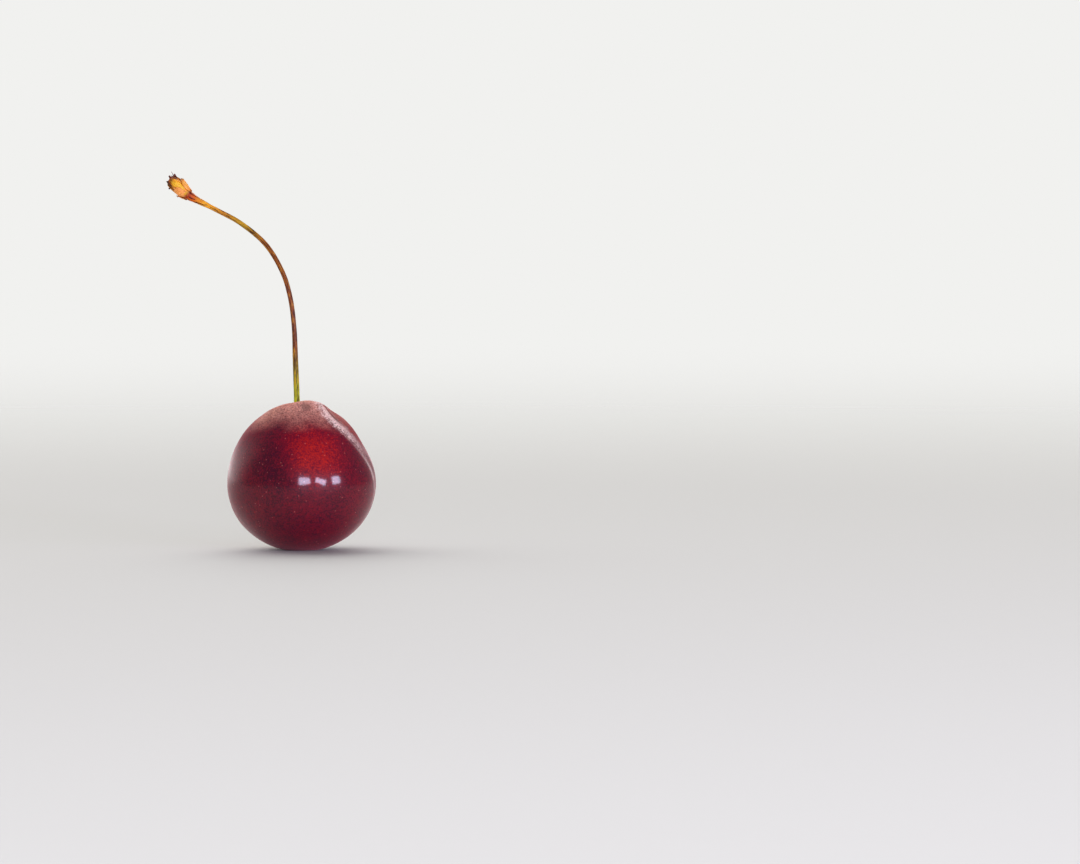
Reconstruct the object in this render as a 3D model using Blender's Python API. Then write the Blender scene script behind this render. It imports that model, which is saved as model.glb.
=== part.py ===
"""A sweet cherry on its long stalk, resting on the small flat spot under the fruit.

Metres, +Z up.  The origin is the middle of the flat spot.  The stalk stands in the hollow on top,
rises and arches over towards -X, and ends in a swollen knob wrapped in six dry bud scales.
"""

import math

import bmesh
import bpy
from mathutils import Vector

MM = 0.001

# Fruit
fruit_width = 25.0 * MM            # along X
fruit_depth = 23.8 * MM            # along Y
belly_height = 11.0 * MM           # of the widest level
crown_rise = 13.73 * MM            # widest level to the crown, before the hollow is pressed in
base_drop = 11.35 * MM             # widest level to the round base, before the flat spot cuts it off
hollow_depth = 3.7 * MM            # hollow round the stalk, wider across (X) than along (Y)
hollow_reach = Vector((5.6, 4.5)) * MM
hollow_centre = Vector((-0.7, 0.0)) * MM
front_cheek_rise = 1.53 * MM       # two cheeks stand before and behind the hollow, the front one higher
back_cheek_rise = 0.44 * MM
cheek_blend = 1.5 * MM             # their heights blend over this much either side of the middle
cheek_place = Vector((1.22, 2.54)) * MM
cheek_reach_left = 7.75 * MM       # towards -X
cheek_reach_right = 5.85 * MM
cheek_reach_along = 4.17 * MM
swellings = [                      # place, reach and rise of two low swellings on the crown
    (Vector((-4.0, -2.5)) * MM, Vector((3.8, 5.0)) * MM, 0.42 * MM),   # the brow by the front cheek
    (Vector((8.0, -1.5)) * MM, Vector((5.0, 7.0)) * MM, 0.62 * MM),    # the lobe beyond the furrow
]
slope_depth = 0.72 * MM            # the shoulder on the furrow's side slopes more than the others
slope_turn = math.radians(75)      # turns are from the front (-Y) towards +X
slope_reach_turn = math.radians(103.5)
slope_angle = math.radians(46.3)   # angles are down from the crown
slope_reach_angle = math.radians(46.7)
furrow_depth = 0.42 * MM           # suture furrow, from the hollow down the +X side
furrow_reach = 1.9 * MM
furrow_turn_top = math.radians(36)
furrow_turn_side = math.radians(84)
furrow_drift = math.radians(110)   # it drifts from the first turn to the second over this angle
furrow_least = 0.3                 # share of its depth that is left by then
furrow_lean = 0.6                  # share of the furrow's depth that also lowers the crown

# Stalk: points along its middle line, in millimetres, base first
stalk_route = [
    (-0.7, 0.0, 21.65),
    (-0.8, 0.0, 25.4),
    (-1.0, 0.1, 32.0),
    (-1.2, 0.3, 37.6),
    (-1.9, 0.6, 42.7),
    (-3.3, 0.9, 47.0),
    (-6.0, 1.3, 51.4),
    (-10.1, 1.8, 54.9),
    (-14.1, 2.2, 57.1),
    (-18.4, 2.6, 59.3),
    (-20.2, 2.8, 60.8),
    (-22.0, 3.0, 62.3),
]
# Stalk radius at distances from its base, in millimetres
foot_radii = [(0.0, 1.15), (0.35, 1.1), (0.9, 0.75), (2.0, 0.53), (5.0, 0.48), (18.0, 0.39)]
# and at distances back from its broken end: the round knob, and the stalk flaring up to it
knob_radii = [(0.0, 0.72), (0.5, 0.94), (1.4, 1.08), (2.5, 1.0), (3.9, 0.84), (4.7, 0.72),
              (5.4, 0.6), (6.2, 0.52), (8.5, 0.39)]
steps_per_span = 7

# Bud scales
scale_thickness = 0.13 * MM
scale_gap = 0.06 * MM              # from the knob, and between the two layers
scale_base_width = 1.25            # a scale is wider below its middle than above it
scale_tip_width = 0.75
knob_length = 4.6 * MM

fruit_segments = 56
fruit_rings = 40


def smooth_chain(points, steps):
    """A Catmull-Rom curve through the points, with the given number of steps to each span."""
    padded = [points[0] * 2 - points[1]] + points + [points[-1] * 2 - points[-2]]
    chain = []
    for before, start, end, after in zip(padded, padded[1:], padded[2:], padded[3:]):
        for step in range(steps):
            t = step / steps
            chain.append(0.5 * (2 * start + (end - before) * t
                                + (2 * before - 5 * start + 4 * end - after) * t ** 2
                                + (3 * start - before - 3 * end + after) * t ** 3))
    chain.append(points[-1].copy())
    return chain


def interpolate(table, x):
    """A value from (x, value) rows in rising x, eased between rows."""
    if x <= table[0][0]:
        return table[0][1]
    for (x0, v0), (x1, v1) in zip(table, table[1:]):
        if x <= x1:
            t = (x - x0) / (x1 - x0)
            return v0 + (v1 - v0) * t * t * (3 - 2 * t)
    return table[-1][1]


def material(name, colour, roughness):
    """A plain Principled material."""
    made = bpy.data.materials.new(name)
    made.use_nodes = True
    shader = made.node_tree.nodes["Principled BSDF"]
    shader.inputs["Base Color"].default_value = (*colour, 1.0)
    shader.inputs["Roughness"].default_value = roughness
    shader.inputs["Metallic"].default_value = 0.0
    return made


def add_object(collection, name, mesh, look):
    """An object of this mesh in the part's collection, shaded smooth."""
    mesh.materials.clear()
    mesh.materials.append(look)
    mesh.shade_smooth()
    made = bpy.data.objects.new(name, mesh)
    collection.objects.link(made)
    return made


# ---- fruit ----

def bell(distance, reach):
    """1 at the middle, easing to 0 at the reach on either side."""
    t = min(abs(distance) / reach, 1.0)
    return 1 - t ** 3 * (t * (6 * t - 15) + 10)


def turn_between(turn, other):
    """The turn from the other to this one, the short way round."""
    return math.remainder(turn - other, 2 * math.pi)


def skin_point(angle, turn):
    """The skin at this angle down from the crown and this turn from the front."""
    spread = math.sin(angle)
    rise = math.cos(angle)
    x = fruit_width / 2 * spread * math.sin(turn)
    y = -fruit_depth / 2 * spread * math.cos(turn)
    height = belly_height + rise * (crown_rise if rise > 0 else base_drop)
    inward = 0.0

    if rise > 0:
        from_stalk = math.hypot((x - hollow_centre.x) / hollow_reach.x,
                                (y - hollow_centre.y) / hollow_reach.y)
        dug = bell(from_stalk, 1.0)
        height -= hollow_depth * dug
        cheek_reach_across = cheek_reach_left if x < cheek_place.x else cheek_reach_right
        forward = min(max(0.5 - y / (2 * cheek_blend), 0.0), 1.0)
        forward *= forward * (3 - 2 * forward)
        cheek_rise = back_cheek_rise + (front_cheek_rise - back_cheek_rise) * forward
        height += (cheek_rise * (1 - dug) * bell(x - cheek_place.x, cheek_reach_across)
                   * bell(abs(y) - cheek_place.y, cheek_reach_along))
        for place, reach, swell in swellings:
            away = math.hypot((x - place.x) / reach.x, (y - place.y) / reach.y)
            height += swell * (1 - dug) * bell(away, 1.0)
        press = (slope_depth * bell(turn_between(turn, slope_turn), slope_reach_turn)
                 * bell(angle - slope_angle, slope_reach_angle))
        height -= press * rise
        inward += press * spread

    # the furrow drifts round the shoulder, then runs straight down and grows shallow
    shoulder = bell(angle, furrow_drift)
    furrow_turn = furrow_turn_side + (furrow_turn_top - furrow_turn_side) * shoulder
    furrow_share = furrow_least + (1 - furrow_least) * shoulder
    radius = max(math.hypot(x, y), 0.1 * MM)
    groove = (furrow_depth * furrow_share * math.sqrt(spread)
              * bell(turn_between(turn, furrow_turn) * radius, furrow_reach))
    height -= groove * rise * furrow_lean
    inward += groove * spread
    keep = 1 - inward / radius
    return Vector((x * keep, y * keep, max(height, 0.0)))


def ring_angle(polar):
    """Moves the rings of a sphere closer together at the hollow, and a little at the flat spot."""
    quarter = math.pi / 2
    if polar <= quarter:
        return quarter * (polar / quarter) ** 1.5
    return math.pi - quarter * ((math.pi - polar) / quarter) ** 1.2


def build_fruit(collection):
    """The fruit: a sphere of rings drawn to the cherry's shape."""
    bm = bmesh.new()
    bmesh.ops.create_uvsphere(bm, u_segments=fruit_segments, v_segments=fruit_rings, radius=1.0)
    for vert in bm.verts:
        polar = math.acos(max(-1.0, min(1.0, vert.co.z)))
        turn = math.atan2(vert.co.x, -vert.co.y)
        vert.co = skin_point(ring_angle(polar), turn)
    bmesh.ops.recalc_face_normals(bm, faces=bm.faces)
    mesh = bpy.data.meshes.new("fruit")
    bm.to_mesh(mesh)
    bm.free()
    add_object(collection, "fruit", mesh, material("cherry_skin", (0.16, 0.006, 0.016), 0.22))


# ---- stalk ----

def stalk_line():
    """The stalk's middle line, and the distance from its base at each point."""
    chain = smooth_chain([Vector(point) * MM for point in stalk_route], steps_per_span)
    distances = [0.0]
    for start, end in zip(chain, chain[1:]):
        distances.append(distances[-1] + (end - start).length)
    return chain, distances


def stalk_radius(distance, length):
    """The stalk's radius, from its foot or from its knob, whichever is nearer."""
    if distance < length / 2:
        return interpolate(foot_radii, distance / MM) * MM
    return interpolate(knob_radii, (length - distance) / MM) * MM


def build_stalk(collection):
    """The stalk with its foot and its knob, as one tapering tube."""
    chain, distances = stalk_line()
    curve = bpy.data.curves.new("stem", "CURVE")
    curve.dimensions = "3D"
    curve.bevel_depth = 1 * MM
    curve.bevel_resolution = 4
    curve.use_fill_caps = True
    spline = curve.splines.new("POLY")
    spline.points.add(len(chain) - 1)
    for point, place, distance in zip(spline.points, chain, distances):
        point.co = (*place, 1.0)
        point.radius = stalk_radius(distance, distances[-1]) / curve.bevel_depth
    curve.materials.append(material("stalk", (0.2, 0.11, 0.018), 0.55))
    collection.objects.link(bpy.data.objects.new("stem", curve))


# ---- bud scales ----

def knob_frame():
    """The knob's foot, its axis, and two directions across it: to the front and to the upper side."""
    chain, distances = stalk_line()
    tip = chain[-1]
    foot_distance = distances[-1] - knob_length
    foot = next(place for place, distance in zip(chain, distances) if distance >= foot_distance)
    axis = (tip - foot).normalized()
    upper = Vector((0, 1, 0)).cross(axis).normalized()
    front = upper.cross(axis).normalized()
    return foot, axis, front, upper


def build_scale(collection, name, turn, half_angle, start, length, layer, curl, look):
    """One dry scale: a leaf with thin rims, wrapped round the knob, with its tip curled out."""
    foot, axis, front, upper = knob_frame()
    bm = bmesh.new()
    # the ball's top is the leaf's tip, and its +X half is the leaf's right half
    bmesh.ops.create_uvsphere(bm, u_segments=24, v_segments=16, radius=1.0)
    for vert in bm.verts:
        along = (vert.co.z + 1) / 2
        width = scale_base_width + (scale_tip_width - scale_base_width) * along
        reach = start + along * length
        radius = interpolate(knob_radii, (knob_length - reach) / MM) * MM
        radius += scale_gap + layer * (scale_thickness + scale_gap)
        radius += (0.5 - vert.co.y / 2) * scale_thickness
        radius += curl * max(along - 0.6, 0.0) ** 2 / 0.16
        angle = turn + vert.co.x * half_angle * width
        outward = front * math.cos(angle) + upper * math.sin(angle)
        vert.co = foot + axis * reach + outward * radius
    bmesh.ops.recalc_face_normals(bm, faces=bm.faces)
    mesh = bpy.data.meshes.new(name)
    bm.to_mesh(mesh)
    bm.free()
    add_object(collection, name, mesh, look)


def build_scales(collection):
    """Three inner scales as long as the knob, and three shorter ones over them."""
    look = material("dry_scale", (0.5, 0.2, 0.03), 0.6)
    degrees = math.radians
    # turn from the front towards the upper side, half angle, start, length, layer, curl
    rows = [
        (degrees(5), degrees(56), 0.35, 4.15, 0, 0.0),
        (degrees(125), degrees(54), 0.45, 4.3, 0, 0.08),
        (degrees(245), degrees(56), 0.4, 4.2, 0, 0.05),
        (degrees(63), degrees(40), 0.35, 3.1, 1, 0.25),
        (degrees(249), degrees(32), 0.1, 1.9, 1, 0.25),
        (degrees(329), degrees(37), 0.45, 2.6, 1, 0.04),
    ]
    for number, (turn, half_angle, start, length, layer, curl) in enumerate(rows, 1):
        build_scale(collection, f"bract_{number}", turn, half_angle, start * MM, length * MM,
                    layer, curl * MM, look)


def main():
    for old in list(bpy.data.objects):
        bpy.data.objects.remove(old)
    collection = bpy.data.collections.new("sweet_cherry")
    bpy.context.scene.collection.children.link(collection)
    build_fruit(collection)
    build_stalk(collection)
    build_scales(collection)


main()
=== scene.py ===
# A sweet cherry on its long stalk, standing on the small flat spot under the fruit.
import math
import bmesh
import bpy
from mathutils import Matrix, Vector


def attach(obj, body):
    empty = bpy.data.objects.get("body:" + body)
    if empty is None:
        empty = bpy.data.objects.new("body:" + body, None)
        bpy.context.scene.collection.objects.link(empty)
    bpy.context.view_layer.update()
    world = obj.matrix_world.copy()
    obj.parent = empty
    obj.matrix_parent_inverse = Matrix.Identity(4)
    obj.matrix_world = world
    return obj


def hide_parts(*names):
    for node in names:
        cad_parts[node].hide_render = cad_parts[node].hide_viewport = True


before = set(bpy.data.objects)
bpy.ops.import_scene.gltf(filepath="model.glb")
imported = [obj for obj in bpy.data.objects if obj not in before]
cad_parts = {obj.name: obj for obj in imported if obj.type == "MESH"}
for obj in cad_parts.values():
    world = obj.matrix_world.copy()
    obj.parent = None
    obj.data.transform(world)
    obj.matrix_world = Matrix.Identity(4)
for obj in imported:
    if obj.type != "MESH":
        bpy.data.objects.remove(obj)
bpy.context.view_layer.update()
scene = bpy.context.scene

mm = 0.001
degree = math.pi / 180


def hexColour(text):
    # sRGB hex to the linear colour that the sockets take
    parts = [int(text[i:i + 2], 16) / 255 for i in (1, 3, 5)]
    return tuple(p / 12.92 if p <= 0.04045 else ((p + 0.055) / 1.055) ** 2.4 for p in parts) + (1.0,)


def feed(tree, node, inputs):
    # inputs: one for each socket in turn, or a dictionary of those that change. A node or socket is
    # linked, and anything else is a value
    for key, value in inputs.items() if isinstance(inputs, dict) else enumerate(inputs):
        if isinstance(value, bpy.types.Node):
            value = value.outputs[0]
        if isinstance(value, bpy.types.NodeSocket):
            tree.links.new(value, node.inputs[key])
        else:
            node.inputs[key].default_value = value


def addNode(tree, kind, inputs=(), **settings):
    # kind leaves out a leading ShaderNode; settings come first, because they decide on the sockets
    node = tree.nodes.new(kind if kind.startswith("GeometryNode") else "ShaderNode" + kind)
    for key, value in settings.items():
        setattr(node, key, value)
    feed(tree, node, inputs)
    return node


def newTree(name, sizes):
    # a geometry tree with one named input for each size: the tree, its inputs and its end socket
    tree = bpy.data.node_groups.new(name, "GeometryNodeTree")
    tree.interface.new_socket("Geometry", in_out="INPUT", socket_type="NodeSocketGeometry")
    tree.interface.new_socket("Geometry", in_out="OUTPUT", socket_type="NodeSocketGeometry")
    for key, value in sizes.items():
        kind = "NodeSocketInt" if isinstance(value, int) else "NodeSocketFloat"
        tree.interface.new_socket(key, in_out="INPUT", socket_type=kind)
    start = tree.nodes.new("NodeGroupInput")
    end = tree.nodes.new("NodeGroupOutput")
    return tree, start.outputs, end.inputs[0]


def endTree(tree, geometry, material, end):
    real = addNode(tree, "GeometryNodeRealizeInstances", [geometry])
    dressed = addNode(tree, "GeometryNodeSetMaterial", {"Geometry": real, "Material": material})
    tree.links.new(dressed.outputs[0], end)


def growMesh(name, data, tree, sizes):
    # runs the tree on an object of this data and keeps the result as a plain mesh
    seed = bpy.data.objects.new(name + "Seed", data)
    scene.collection.objects.link(seed)
    modifier = seed.modifiers.new("shape", "NODES")
    modifier.node_group = tree
    for item in tree.interface.items_tree:
        if item.in_out == "INPUT" and item.name in sizes:
            modifier[item.identifier] = sizes[item.name]
    graph = bpy.context.evaluated_depsgraph_get()
    mesh = bpy.data.meshes.new_from_object(seed.evaluated_get(graph), preserve_all_data_layers=True,
                                           depsgraph=graph)
    bpy.data.objects.remove(seed)
    piece = bpy.data.objects.new(name, mesh)
    scene.collection.objects.link(piece)
    mesh.shade_smooth()
    print("made", name, "with", len(mesh.polygons), "faces")
    return piece


def newMaterial(name, sockets):
    # sockets: what is the same all over the surface
    material = bpy.data.materials.new(name)
    material.use_nodes = True
    tree = material.node_tree
    shader = tree.nodes["Principled BSDF"]
    feed(tree, shader, sockets)
    return material, tree, shader


def layColours(tree, colour, layers):
    # each colour lies over the ones before it, as its mask says
    for shade, mask in layers:
        colour = addNode(tree, "Mix", {"Factor": mask, 6: colour, 7: hexColour(shade)},
                         data_type="RGBA").outputs[2]
    return colour


def placeInMm(tree):
    coords = addNode(tree, "TexCoord")
    return addNode(tree, "Mapping", {"Vector": coords.outputs["Object"], "Scale": (1 / mm,) * 3})


# the fruit

# lengths in mm, angles in degrees: turns go from the front (-Y) towards +X, angles down from the crown
fruit = {
    "Width": 25.0, "Depth": 23.8, "Belly height": 11.0, "Crown rise": 13.73, "Base drop": 11.35,
    "Hollow depth": 3.7, "Hollow reach across": 5.6, "Hollow reach along": 4.5, "Hollow across": -0.7,
    "Hollow along": 0.0, "Front cheek rise": 1.53, "Back cheek rise": 0.44, "Cheek blend": 1.5,
    "Cheek across": 1.22, "Cheek along": 2.54,
    "Cheek reach left": 7.75, "Cheek reach right": 5.85, "Cheek reach along": 4.17,
    "Slope depth": 0.72, "Slope turn": 75.0, "Slope reach turn": 103.5,
    "Slope angle": 46.3, "Slope reach angle": 46.7,
    "Furrow depth": 0.42, "Furrow reach": 1.9, "Furrow turn at crown": 36.0,
    "Furrow turn at side": 84.0, "Furrow drift": 110.0, "Furrow least": 0.3, "Furrow lean": 0.6,
    "Crease depth": 0.16, "Crease reach": 0.6, "Crease place": 1.6,
    "Crease start": 30.0, "Crease end": 50.0,
    "Brow rise": 0.42, "Brow across": -4.0, "Brow along": -2.5,
    "Brow reach across": 3.8, "Brow reach along": 5.0,
    "Lobe rise": 0.62, "Lobe across": 8.0, "Lobe along": -1.5,
    "Lobe reach across": 5.0, "Lobe reach along": 7.0,
    "Rest rounding": 0.15, "Scar radius": 0.9, "Scar depth": 0.32,
    "Swell height": 0.07, "Swell size": 5.5, "Swell start": 0.3, "Swell full": 3.0,
    "Segments": 256, "Rings": 200,
}


def bell(tree, offset, reach, top=1.0):
    # the top in the middle, eased to nothing at the reach on either side
    away = addNode(tree, "Math", [offset], operation="ABSOLUTE")
    return addNode(tree, "MapRange", {0: away, 2: reach, 3: top, 4: 0.0}, interpolation_type="SMOOTHERSTEP")


def fruitTree(material):
    tree, sizes, end = newTree("cherryShape", fruit)
    ball = addNode(tree, "GeometryNodeMeshUVSphere",
                   {"Segments": sizes["Segments"], "Rings": sizes["Rings"], "Radius": 1.0})
    place = addNode(tree, "GeometryNodeInputPosition")
    ballX, ballY, ballZ = addNode(tree, "SeparateXYZ", [place]).outputs
    angle = addNode(tree, "Math", [ballZ], operation="ARCCOSINE")
    angleDegrees = addNode(tree, "Math", [angle], operation="DEGREES")
    spread = addNode(tree, "Math", [angle], operation="SINE")
    back = addNode(tree, "Math", [ballY, -1.0], operation="MULTIPLY")
    turn = addNode(tree, "Math", [ballX, back], operation="ARCTAN2")
    turnDegrees = addNode(tree, "Math", [turn], operation="DEGREES")
    isUpper = addNode(tree, "Math", [ballZ, 0.0], operation="GREATER_THAN")
    isLower = addNode(tree, "Math", [1.0, isUpper], operation="SUBTRACT")

    # the plain egg, in mm
    halfWidth = addNode(tree, "Math", [sizes["Width"], 0.5], operation="MULTIPLY")
    halfDepth = addNode(tree, "Math", [sizes["Depth"], 0.5], operation="MULTIPLY")
    x = addNode(tree, "Math", [ballX, halfWidth], operation="MULTIPLY")
    y = addNode(tree, "Math", [ballY, halfDepth], operation="MULTIPLY")
    level = addNode(tree, "CombineXYZ", [x, y])
    radius = addNode(tree, "VectorMath", [level], operation="LENGTH").outputs["Value"]
    rise = addNode(tree, "GeometryNodeSwitch",
                   [isUpper, sizes["Base drop"], sizes["Crown rise"]], input_type="FLOAT")
    egg = addNode(tree, "Math", [ballZ, rise, sizes["Belly height"]], operation="MULTIPLY_ADD")

    # three ovals: the hollow round the stalk, the brow by the front cheek, the lobe beyond the furrow
    ovals = {}
    for name in ("Hollow", "Brow", "Lobe"):
        offX = addNode(tree, "Math", [x, sizes[name + " across"]], operation="SUBTRACT")
        offY = addNode(tree, "Math", [y, sizes[name + " along"]], operation="SUBTRACT")
        shareX = addNode(tree, "Math", [offX, sizes[name + " reach across"]], operation="DIVIDE")
        shareY = addNode(tree, "Math", [offY, sizes[name + " reach along"]], operation="DIVIDE")
        inOval = addNode(tree, "CombineXYZ", [shareX, shareY])
        away = addNode(tree, "VectorMath", [inOval], operation="LENGTH")
        ovals[name] = bell(tree, away.outputs["Value"], 1.0, isUpper)
    hollow = addNode(tree, "Math", [ovals["Hollow"], sizes["Hollow depth"]], operation="MULTIPLY")
    undug = addNode(tree, "Math", [1.0, ovals["Hollow"]], operation="SUBTRACT")

    # the two cheeks before and behind the hollow, the front one higher
    cheekX = addNode(tree, "Math", [x, sizes["Cheek across"]], operation="SUBTRACT")
    isLeft = addNode(tree, "Math", [cheekX, 0.0], operation="LESS_THAN")
    cheekReach = addNode(tree, "GeometryNodeSwitch",
                         [isLeft, sizes["Cheek reach right"], sizes["Cheek reach left"]],
                         input_type="FLOAT")
    yAway = addNode(tree, "Math", [y], operation="ABSOLUTE")
    cheekY = addNode(tree, "Math", [yAway, sizes["Cheek along"]], operation="SUBTRACT")
    cheekShareX = bell(tree, cheekX, cheekReach, isUpper)
    cheekShareY = bell(tree, cheekY, sizes["Cheek reach along"])
    cheekShare = addNode(tree, "Math", [cheekShareX, cheekShareY], operation="MULTIPLY")
    cheekLeft = addNode(tree, "Math", [cheekShare, undug], operation="MULTIPLY")
    blendBack = addNode(tree, "Math", [sizes["Cheek blend"], -1.0], operation="MULTIPLY")
    cheekRise = addNode(tree, "MapRange",
                        [y, blendBack, sizes["Cheek blend"], sizes["Front cheek rise"],
                         sizes["Back cheek rise"]], interpolation_type="SMOOTHSTEP")
    raised = addNode(tree, "Math", [cheekLeft, cheekRise], operation="MULTIPLY")
    for name in ("Brow", "Lobe"):
        swell = addNode(tree, "Math", [ovals[name], undug], operation="MULTIPLY")
        raised = addNode(tree, "Math", [swell, sizes[name + " rise"], raised], operation="MULTIPLY_ADD")

    # the shoulder that slopes away on the furrow's side
    slopeAside = addNode(tree, "Math", [turnDegrees, sizes["Slope turn"]], operation="SUBTRACT")
    slopeWrap = addNode(tree, "Math", [slopeAside, 180.0, -180.0], operation="WRAP")
    slopeDown = addNode(tree, "Math", [angleDegrees, sizes["Slope angle"]], operation="SUBTRACT")
    slopeShareTurn = bell(tree, slopeWrap, sizes["Slope reach turn"], isUpper)
    slopeShareAngle = bell(tree, slopeDown, sizes["Slope reach angle"])
    slopeShare = addNode(tree, "Math", [slopeShareTurn, slopeShareAngle], operation="MULTIPLY")
    press = addNode(tree, "Math", [slopeShare, sizes["Slope depth"]], operation="MULTIPLY")

    # the suture furrow drifts round the shoulder, then runs straight down and grows shallow
    shoulder = bell(tree, angleDegrees, sizes["Furrow drift"])
    furrowTurn = addNode(tree, "MapRange",
                         {0: shoulder, 3: sizes["Furrow turn at side"], 4: sizes["Furrow turn at crown"]})
    furrowLeft = addNode(tree, "MapRange", {0: shoulder, 3: sizes["Furrow least"], 4: 1.0})
    furrowAside = addNode(tree, "Math", [turnDegrees, furrowTurn], operation="SUBTRACT")
    furrowWrap = addNode(tree, "Math", [furrowAside, 180.0, -180.0], operation="WRAP")
    furrowTurned = addNode(tree, "Math", [furrowWrap], operation="RADIANS")
    furrowSide = addNode(tree, "Math", [furrowTurned, radius], operation="MULTIPLY")
    furrowShare = bell(tree, furrowSide, sizes["Furrow reach"], sizes["Furrow depth"])
    # with a fine crease on its far side, at the shoulder only
    creaseSide = addNode(tree, "Math", [furrowSide, sizes["Crease place"]], operation="SUBTRACT")
    creaseShare = bell(tree, creaseSide, sizes["Crease reach"], sizes["Crease depth"])
    creaseTop = addNode(tree, "MapRange",
                        [angleDegrees, sizes["Crease start"], sizes["Crease end"], 1.0,
                         0.0], interpolation_type="SMOOTHSTEP")
    creased = addNode(tree, "Math", [creaseShare, creaseTop, furrowShare], operation="MULTIPLY_ADD")
    furrowFade = addNode(tree, "Math", [spread], operation="SQRT")
    furrowFaded = addNode(tree, "Math", [creased, furrowFade], operation="MULTIPLY")
    groove = addNode(tree, "Math", [furrowFaded, furrowLeft], operation="MULTIPLY")

    # everything together
    pressed = addNode(tree, "Math", [groove, sizes["Furrow lean"], press], operation="MULTIPLY_ADD")
    lowered = addNode(tree, "Math", [pressed, ballZ], operation="MULTIPLY")
    crown = addNode(tree, "Math", [egg, raised], operation="ADD")
    dug = addNode(tree, "Math", [crown, hollow], operation="SUBTRACT")
    height = addNode(tree, "Math", [dug, lowered], operation="SUBTRACT")
    inwardSum = addNode(tree, "Math", [groove, press], operation="ADD")
    inward = addNode(tree, "Math", [inwardSum, spread], operation="MULTIPLY")
    safeRadius = addNode(tree, "Math", [radius, 0.1], operation="MAXIMUM")
    inwardShare = addNode(tree, "Math", [inward, safeRadius], operation="DIVIDE")
    keep = addNode(tree, "Math", [1.0, inwardShare], operation="SUBTRACT")

    # flat where it rests, with the little dry scar of the flower's tip pressed in
    rested = addNode(tree, "Math", [height, 0.0, sizes["Rest rounding"]], operation="SMOOTH_MAX")
    scarShare = bell(tree, radius, sizes["Scar radius"], isLower)
    scarred = addNode(tree, "Math", [scarShare, sizes["Scar depth"], rested], operation="MULTIPLY_ADD")
    newX = addNode(tree, "Math", [x, keep], operation="MULTIPLY")
    newY = addNode(tree, "Math", [y, keep], operation="MULTIPLY")
    inMm = addNode(tree, "CombineXYZ", [newX, newY, scarred])
    inMetres = addNode(tree, "VectorMath", {0: inMm, "Scale": mm}, operation="SCALE")

    # what the skin's colours follow
    marks = ball
    for name, share in (("furrowSide", furrowSide), ("hollow", ovals["Hollow"]), ("scar", scarShare)):
        marks = addNode(tree, "GeometryNodeStoreNamedAttribute",
                        {"Geometry": marks, "Name": name, "Value": share})
    shaped = addNode(tree, "GeometryNodeSetPosition", {"Geometry": marks, "Position": inMetres})

    # low swellings, as no cherry is even, fading out at the flat spot
    swellPlace = addNode(tree, "GeometryNodeInputPosition")
    swellMm = addNode(tree, "VectorMath", {0: swellPlace, "Scale": 1 / mm}, operation="SCALE")
    swellScale = addNode(tree, "Math", [1.0, sizes["Swell size"]], operation="DIVIDE")
    swellNoise = addNode(tree, "TexNoise",
                         {"Vector": swellMm, "Scale": swellScale, "Detail": 1.0, "Roughness": 0.4})
    swellLevel = addNode(tree, "Math", [swellNoise, 0.5], operation="SUBTRACT")
    swellHeight = addNode(tree, "Math", [swellLevel, sizes["Swell height"]], operation="MULTIPLY")
    aboveFloor = addNode(tree, "SeparateXYZ", [swellMm]).outputs[2]
    swellFade = addNode(tree, "MapRange",
                        [aboveFloor, sizes["Swell start"], sizes["Swell full"]],
                        interpolation_type="SMOOTHSTEP")
    swellFaded = addNode(tree, "Math", [swellHeight, swellFade], operation="MULTIPLY")
    swellMetres = addNode(tree, "Math", [swellFaded, 2 * mm], operation="MULTIPLY")
    outward = addNode(tree, "GeometryNodeInputNormal")
    swell = addNode(tree, "VectorMath", {0: outward, "Scale": swellMetres}, operation="SCALE")
    swollen = addNode(tree, "GeometryNodeSetPosition", {"Geometry": shaped, "Offset": swell})
    endTree(tree, swollen, material, end)
    return tree


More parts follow.
